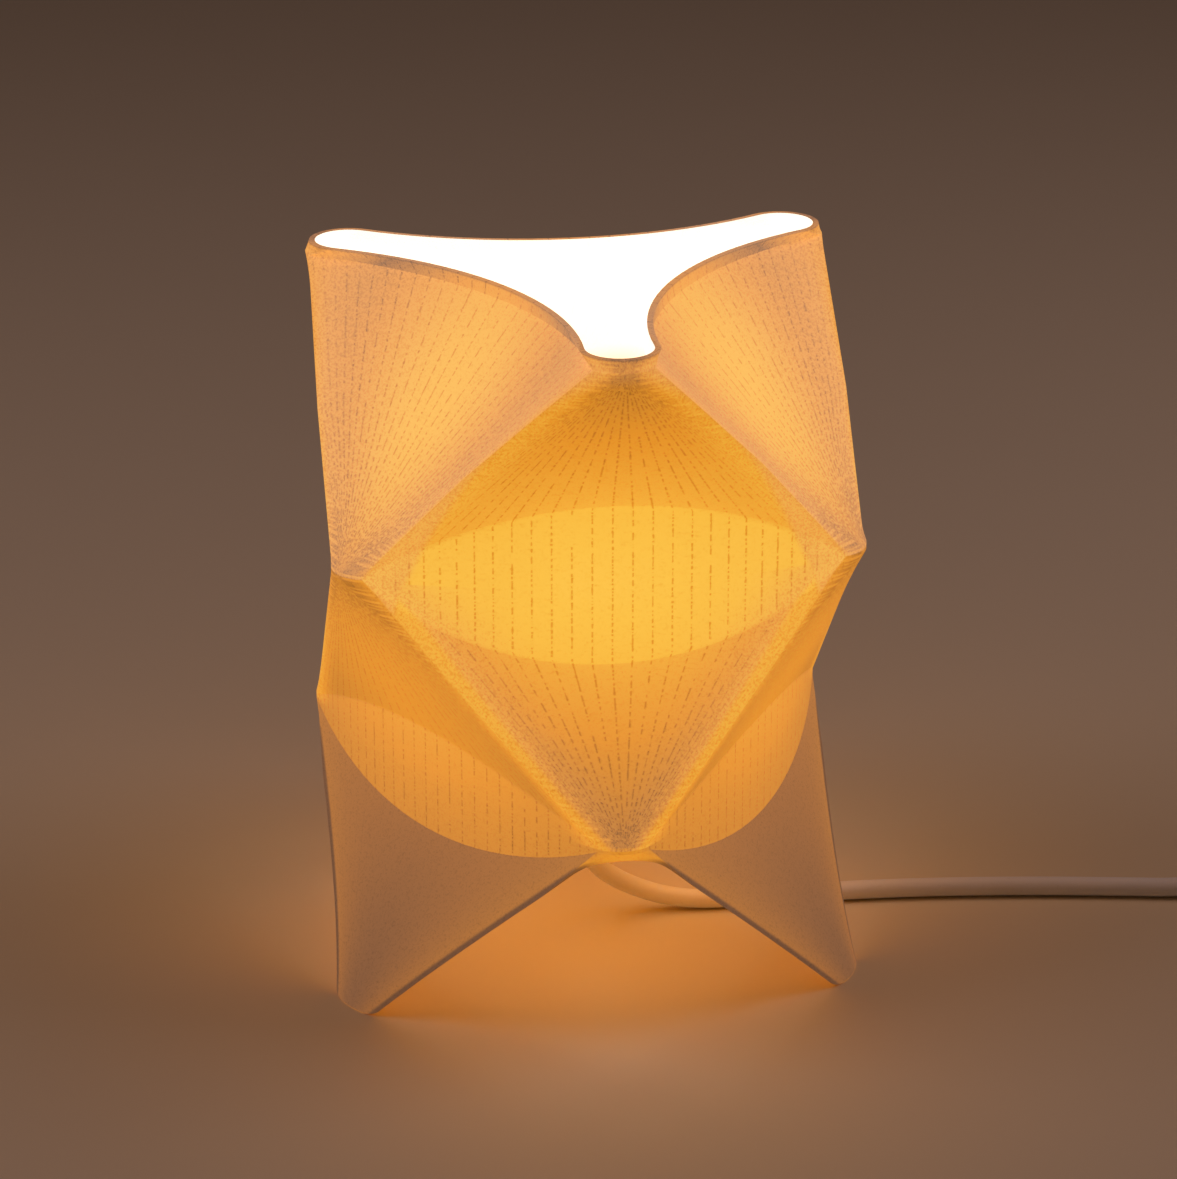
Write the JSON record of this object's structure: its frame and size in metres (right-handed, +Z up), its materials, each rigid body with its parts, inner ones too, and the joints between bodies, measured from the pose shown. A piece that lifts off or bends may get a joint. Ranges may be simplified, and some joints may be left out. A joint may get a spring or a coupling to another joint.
{
  "type": "table lamp",
  "caption": "Table lamp with a one-piece translucent faceted shade on three legs, a screw bulb inside and a round mains lead with a rocker switch",
  "frame": {"origin": "on the floor under the middle of the shade", "axes": "+Z up, -Y towards the middle front corner, millimetres in the source and metres in the row"},
  "size_m": [0.5161, 0.2, 0.241],
  "materials": {
    "shade_plastic": "translucent off-white, finely dotted and layered",
    "carrier_plastic": "plain off-white",
    "holder_plastic": "moulded off-white",
    "insert_ceramic": "unglazed white",
    "brass_contact": "stamped strip",
    "zinc_screw": "bright zinc",
    "cap_aluminium": "drawn shell",
    "cap_glass": "black insulating glass",
    "bulb_plastic": "smooth white",
    "opal_globe": "opal, lit from inside",
    "circuit_board": "white solder mask",
    "led_phosphor": "yellow phosphor",
    "driver_board": "green laminate",
    "cord_sheath": "round cream sheath",
    "core_insulation": "brown and blue cores",
    "tie_fabric": "woven tape",
    "switch_plastic": "fine moulded grain",
    "plug_plastic": "smooth moulded",
    "pin_brass": "nickel plated",
    "pin_sleeve": "black sleeve"
  },
  "bodies": {
    "lamp": {"shade": "shade_plastic", "holder_carrier": "carrier_plastic", "carrier_screws": "zinc_screw", "holder_cap": "holder_plastic", "cord_nipple": "holder_plastic", "cord_grip": "holder_plastic", "holder_skirt": "holder_plastic", "holder_insert": "insert_ceramic", "centre_contact": "brass_contact", "side_contact": "brass_contact", "terminal_screws": "zinc_screw", "cord_lead": "cord_sheath", "cord_tail": "cord_sheath", "cord_coil": "cord_sheath", "cord_plug_end": "cord_sheath", "cord_in_holder": "cord_sheath", "lead_wires": "core_insulation", "coil_tie": "tie_fabric", "switch_base": "switch_plastic", "switch_cover": "switch_plastic", "rocker_saddles": "switch_plastic", "switch_contacts": "brass_contact", "switch_screws": "zinc_screw", "plug_body": "plug_plastic", "plug_boot": "plug_plastic", "plug_pins": "pin_brass", "plug_pin_sleeves": "pin_sleeve"},
    "bulb": {"bulb_contact": "brass_contact", "bulb_cap_glass": "cap_glass", "bulb_cap": "cap_aluminium", "bulb_housing": "bulb_plastic", "led_board": "circuit_board", "led_chips": "led_phosphor", "bulb_driver": "driver_board", "bulb_globe": "opal_globe"},
    "ring": {"shade_ring": "holder_plastic"},
    "rocker": {"switch_rocker": "switch_plastic"}
  },
  "joints": [
    {"name": "bulb_lift", "type": "slide", "parent": "lamp", "child": "bulb", "axis": [0, 0, 1], "range_m": [0, 0.15]},
    {"name": "ring_turn", "type": "hinge", "parent": "lamp", "child": "ring", "pos_m": [0, 0, 0.1033], "axis": [0, 0, 1], "range_deg": [0, 1440]},
    {"name": "rocker_tilt", "type": "hinge", "parent": "lamp", "child": "rocker", "pos_m": [0.281, -0.0082, 0.015], "axis": [0, 1, 0], "range_deg": [0, 16]}
  ]
}
